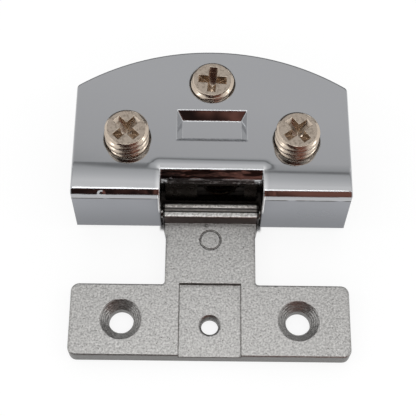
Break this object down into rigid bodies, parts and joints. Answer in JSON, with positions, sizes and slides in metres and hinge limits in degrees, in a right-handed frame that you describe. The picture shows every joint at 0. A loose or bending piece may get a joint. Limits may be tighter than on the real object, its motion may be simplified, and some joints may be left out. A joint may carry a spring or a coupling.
{
  "type": "glass door hinge",
  "caption": "Clamp hinge for an inset glass cabinet door: half-moon clamp body with set screws, hinged on a pin to a T-shaped mounting arm with countersunk holes.",
  "frame": {"origin": "centre of the mounting face's screw pattern, midway between the two countersunk holes", "axes": "+Z out of the cabinet side, +Y from the T plate to the clamp, X along the hinge pin"},
  "size_m": [0.0506, 0.0559, 0.0191],
  "materials": {
    "bright_chrome": "polished",
    "satin_nickel": "satin",
    "pin_steel": "satin",
    "nickel_plate": "gloss",
    "spring_steel": "satin",
    "zinc_plate": "satin",
    "pad_rubber": "matte"
  },
  "bodies": {
    "arm": {"mounting_arm": "satin_nickel"},
    "clamp": {"clamp_body": "bright_chrome", "pivot_pin": "pin_steel", "face_pad": "pad_rubber"},
    "left_screw": {"clamp_screw_left": "nickel_plate"},
    "right_screw": {"clamp_screw_right": "nickel_plate"},
    "top_screw": {"clamp_screw_top": "nickel_plate"},
    "pressure": {"pressure_plate": "zinc_plate", "pressure_pad": "pad_rubber"},
    "latch": {"latch_plate": "spring_steel", "latch_spring": "spring_steel"}
  },
  "joints": [
    {"name": "door_swing", "type": "hinge", "parent": "arm", "child": "clamp", "pos_m": [0, 0.0205, 0.004], "axis": [1, 0, 0], "range_deg": [-7.24, 92.76]},
    {"name": "left_screw_travel", "type": "slide", "parent": "clamp", "child": "left_screw", "axis": [0, 0.0482, 0.9988], "range_m": [-0.0016, 0.0008]},
    {"name": "right_screw_travel", "type": "slide", "parent": "clamp", "child": "right_screw", "axis": [0, 0.0482, 0.9988], "range_m": [-0.0016, 0.0008]},
    {"name": "top_screw_travel", "type": "slide", "parent": "clamp", "child": "top_screw", "axis": [0, 0.0482, 0.9988], "range_m": [-0.0045, 0.0005]},
    {"name": "pressure_travel", "type": "slide", "parent": "clamp", "child": "pressure", "axis": [0, 0.0482, 0.9988], "range_m": [-0.0045, 0.0005]},
    {"name": "latch_travel", "type": "slide", "parent": "clamp", "child": "latch", "axis": [0, 0.9988, -0.0482], "range_m": [0, 0.001], "stiffness_N_per_m": 300, "springref_m": -0.002, "deforming": ["latch_spring"]}
  ],
  "couplings": [
    {"joint": "pressure_travel", "follows": "top_screw_travel", "ratio": 1}
  ]
}
